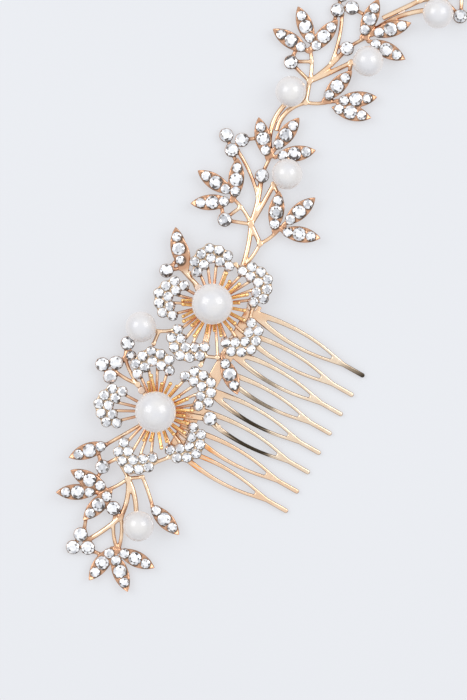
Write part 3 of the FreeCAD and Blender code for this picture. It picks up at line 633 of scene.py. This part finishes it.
COMB_TURN = math.radians(-29.5)
TOOTH_PITCH = 4.35 * MM
TEETH = 8
COMB_ROUNDING = 0.22 * MM
FLAT_ANGLE = math.radians(1)        # faces that meet at less are taken as one
CORNER_ANGLE = math.radians(50)     # edges that turn by more are rounded over
# The painted marks' places are in millimetres from the roots of the teeth, at the spine's front edge,
# and the teeth are counted from the top one, which is 0.
SPINE = 2.6
# Painted dark reflections on the lower legs: tooth, start, end, depth.
PAINTED_DARK_REFLECTIONS = ((2, 6.5, 10.0, 0.6), (3, 6.0, 12.0, 0.75), (4, 5.8, 13.0, 1.0), (5, 6.0, 15.5, 1.0))
PAINTED_DARK_ENDS = (0.6, 0.5)      # how far a stretch fades outside and inside its ends
LOW_LEG = (0.06, 0.16)      # where a lower leg starts, in pitches below the middle of its tooth
DARK_TIP = (19.1, 19.8)     # where the top tooth starts to darken, and is dark
# Painted orange reflections where the last teeth leave the lower flower: tooth, side of its middle,
# start, end.
PAINTED_ORANGE_REFLECTIONS = ((6, -1, 3.8, 5.2), (7, 1, 4.4, 6.2), (7, -1, 3.4, 5.4))
PAINTED_ORANGE_ENDS = (0.4, 0.3)
# Painted orange reflection on the spine and the roots of the teeth, fading out over its span.
ROOT_GLOW = 0.25
ROOT_GLOW_SPAN = (0.5, 3.5)
LAST_PALE_TOOTH = 5
WARM_TOOTH_GLOW = 0.2       # the teeth after the last pale one take a little painted orange reflection all over


def along_stretch(reach, start, end, outside, inside):
    """1 along a stretch and 0 beyond it, with a fade outside and inside each end."""
    begun = smooth_step(reach, start - outside, start + inside)
    return begun * (1 - smooth_step(reach, end - inside, end + outside))


def comb_painted_light(points):
    """Each point's two painted values: a painted orange reflection by the spine, and painted dark
    reflections along some of the legs.
    """
    forward = Vector((math.cos(COMB_TURN), math.sin(COMB_TURN)))
    upward = Vector((-forward.y, forward.x))
    along = [point.xy.dot(forward) / MM for point in points]
    across = [point.xy.dot(upward) for point in points]
    roots = min(along) + SPINE
    centre = (max(across) + min(across)) / 2
    marks = []
    for reach, side in zip(along, across):
        reach -= roots
        place = (TEETH - 1) / 2 - (side - centre) / TOOTH_PITCH
        tooth = round(place)
        low_leg = smooth_step(place - tooth, *LOW_LEG)
        dark = 0.0
        for number, start, end, depth in PAINTED_DARK_REFLECTIONS:
            if tooth == number:
                dark = depth * low_leg * along_stretch(reach, start, end, *PAINTED_DARK_ENDS)
        if tooth == 0:
            dark = smooth_step(reach, *DARK_TIP)
        warm = ROOT_GLOW * (1 - smooth_step(reach, *ROOT_GLOW_SPAN))
        if tooth > LAST_PALE_TOOTH:
            warm = max(warm, WARM_TOOTH_GLOW)
        for number, leg, start, end in PAINTED_ORANGE_REFLECTIONS:
            if tooth == number and leg * (tooth - place) > 0:
                warm = max(warm, along_stretch(reach, start, end, *PAINTED_ORANGE_ENDS))
        marks.append((warm, dark))
    return marks


def make_comb():
    """The comb as pressed sheet, with all its corners rounded over."""
    work = node_shape("comb_plate", gap=1e-6)
    bmesh.ops.dissolve_limit(work, angle_limit=FLAT_ANGLE, verts=work.verts, edges=work.edges)
    corners = [edge for edge in work.edges if edge.calc_face_angle(0) > CORNER_ANGLE]
    bmesh.ops.bevel(work, geom=corners, offset=COMB_ROUNDING, segments=4, profile=0.5, affect="EDGES",
                    clamp_overlap=False)
    mesh = finished_mesh(work, "comb_plate_pressed")
    mesh.shade_smooth()
    mesh.materials.append(COMB)
    # The painted orange reflections and painted dark reflections, which the material reads.
    painted_reflections, shades = zip(*comb_painted_light([vertex.co for vertex in mesh.vertices]))
    paint(mesh, "painted_reflection", painted_reflections)
    paint(mesh, "painted_shade_and_reflection", shades)
    add_piece(mesh, "comb_plate")


# ---------------------------------------------------------------- pearls

PEARL_ROWS = 56
PEARL_AROUND = 96
HOLE_RADIUS = 0.45 * MM
HOLE_DEPTH = 0.7            # in pearl radii
WAVES = 3
WAVE_HEIGHT = 0.0004        # in pearl radii
TRIM = 0.0012               # in pearl radii, so that the waves stay inside the CAD ball


def make_pearl(name):
    """A drilled pearl: a ball with slight waves and an open drill hole underneath."""
    low, high = (Vector(corner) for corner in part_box(name))
    radius = (high.x - low.x) / 2
    centre = Vector(((low.x + high.x) / 2, (low.y + high.y) / 2, high.z - radius))
    chance = random.Random(name)
    waves = [(chance.uniform(2, 4), chance.uniform(0, math.tau), chance.uniform(0, math.tau))
             for wave in range(WAVES)]
    hole_angle = HOLE_RADIUS / radius
    work = bmesh.new()
    rings = []
    for row in range(1, PEARL_ROWS):
        polar = row * (math.pi - hole_angle) / (PEARL_ROWS - 1)
        ring = []
        for step in range(PEARL_AROUND):
            angle = math.tau * step / PEARL_AROUND
            swell = sum(math.sin(rate * polar + first) * math.sin(angle + second)
                        for rate, first, second in waves)
            reach = radius * (1 - TRIM + WAVE_HEIGHT * swell)
            ring.append(work.verts.new(centre + Vector((
                reach * math.sin(polar) * math.cos(angle),
                reach * math.sin(polar) * math.sin(angle),
                reach * math.cos(polar)))))
        rings.append(ring)
    # The drill hole's wall and floor.
    hole_floor = [work.verts.new(vertex.co + Vector((0, 0, HOLE_DEPTH * radius))) for vertex in rings[-1]]
    rings.append(hole_floor)
    top = work.verts.new(centre + Vector((0, 0, radius * (1 - TRIM))))
    for step in range(PEARL_AROUND):
        after = (step + 1) % PEARL_AROUND
        work.faces.new((top, rings[0][step], rings[0][after]))
        for upper, lower in zip(rings, rings[1:]):
            work.faces.new((upper[step], lower[step], lower[after], upper[after]))
    work.faces.new(hole_floor)
    bmesh.ops.recalc_face_normals(work, faces=work.faces)
    mesh = finished_mesh(work, name + "_nacre")
    mesh.shade_smooth()
    mesh.materials.append(PEARL)
    add_piece(mesh, name)


# ---------------------------------------------------------------- table, light and camera

FLOOR_SIZE = 3
FLOOR_GAP = 0.05 * MM       # under the object, so that the two surfaces don't share a plane
SOFTBOX_PLACE = (0.36, 0.16, 0.42)          # from the upper pearl, on either side of it
SOFTBOX_SIZE = 0.36
SOFTBOX_ENERGY = 1.0
SOFTBOX_COLOUR = (1.0, 0.99, 0.97)
VIEW_OFFSET = (4.1 * MM, -8.9 * MM, 0)      # from the upper pearl to the middle of the view
VIEW_LEVEL = 3 * MM                         # the view measures its height this far above the table
VIEW_HEIGHT = 136.5 * MM
CAMERA_DISTANCE = 0.62


def make_floor():
    material, tree, shader = new_material("pale_table")
    drift = spread(tree, noise_map(tree, scale=6, detail=2), 0.3, 0.7)
    body = mixed(tree, drift, (0.215, 0.237, 0.26), (0.229, 0.251, 0.274))
    tree.links.new(body, shader.inputs["Base Color"])
    shader.inputs["Roughness"].default_value = 0.65
    shader.inputs["Emission Color"].default_value = (0.99, 0.97, 0.985, 1)
    shader.inputs["Emission Strength"].default_value = 0.54
    shader.inputs["Specular IOR Level"].default_value = 0.25
    bump(tree, shader, noise_map(tree, scale=900, detail=2), strength=0.05, distance=0.03 * MM)
    bpy.ops.mesh.primitive_plane_add(size=FLOOR_SIZE, location=(0, 0, cad_box[0][2] - FLOOR_GAP))
    floor = bpy.context.active_object
    floor.name = "table_top"
    floor.data.materials.append(material)


def softbox(name, place, target):
    data = bpy.data.lights.new(name, "AREA")
    data.shape = "RECTANGLE"
    data.size = SOFTBOX_SIZE
    data.size_y = SOFTBOX_SIZE
    data.energy = SOFTBOX_ENERGY
    data.color = SOFTBOX_COLOUR
    lamp = bpy.data.objects.new(name, data)
    lamp.location = place
    lamp.rotation_euler = (place - target).to_track_quat("Z", "Y").to_euler()
    bpy.context.scene.collection.objects.link(lamp)


def make_light():
    """A studio that is darker towards the horizon, and a softbox on each side."""
    world = bpy.data.worlds.new("studio")
    bpy.context.scene.world = world
    world.use_nodes = True
    tree = world.node_tree
    coordinates = tree.nodes.new("ShaderNodeTexCoord")
    height = spread(tree, upward_part(tree, coordinates.outputs["Generated"]), 0.05, 0.5)
    sky = mixed(tree, height, (0.34, 0.31, 0.29), (0.92, 0.935, 0.96))
    tree.links.new(sky, tree.nodes["Background"].inputs["Color"])
    target = middle("upper_pearl")
    aside, north, above = SOFTBOX_PLACE
    for side in (-1, 1):
        softbox(f"softbox_{side + 1}", target + Vector((side * aside, north, above)), target)


def make_camera():
    """Straight above, with the flowers left of the middle and the vine leaving at the upper right."""
    target = middle("upper_pearl") + Vector(VIEW_OFFSET)
    target.z = VIEW_LEVEL
    data = bpy.data.cameras.new("overhead")
    data.sensor_width = 36
    data.lens = data.sensor_width * CAMERA_DISTANCE / VIEW_HEIGHT
    data.clip_start = 0.01
    camera = bpy.data.objects.new("overhead", data)
    camera.location = target + Vector((0, 0, CAMERA_DISTANCE))
    bpy.context.scene.collection.objects.link(camera)
    bpy.context.scene.camera = camera


# ---------------------------------------------------------------- the whole scene

for stone_node in STONE_NODES:
    make_stones(stone_node)
make_castings()
make_comb()
for pearl_node in PEARL_NODES:
    make_pearl(pearl_node)
make_floor()
make_light()
make_camera()
bpy.context.scene.view_settings.view_transform = "Standard"
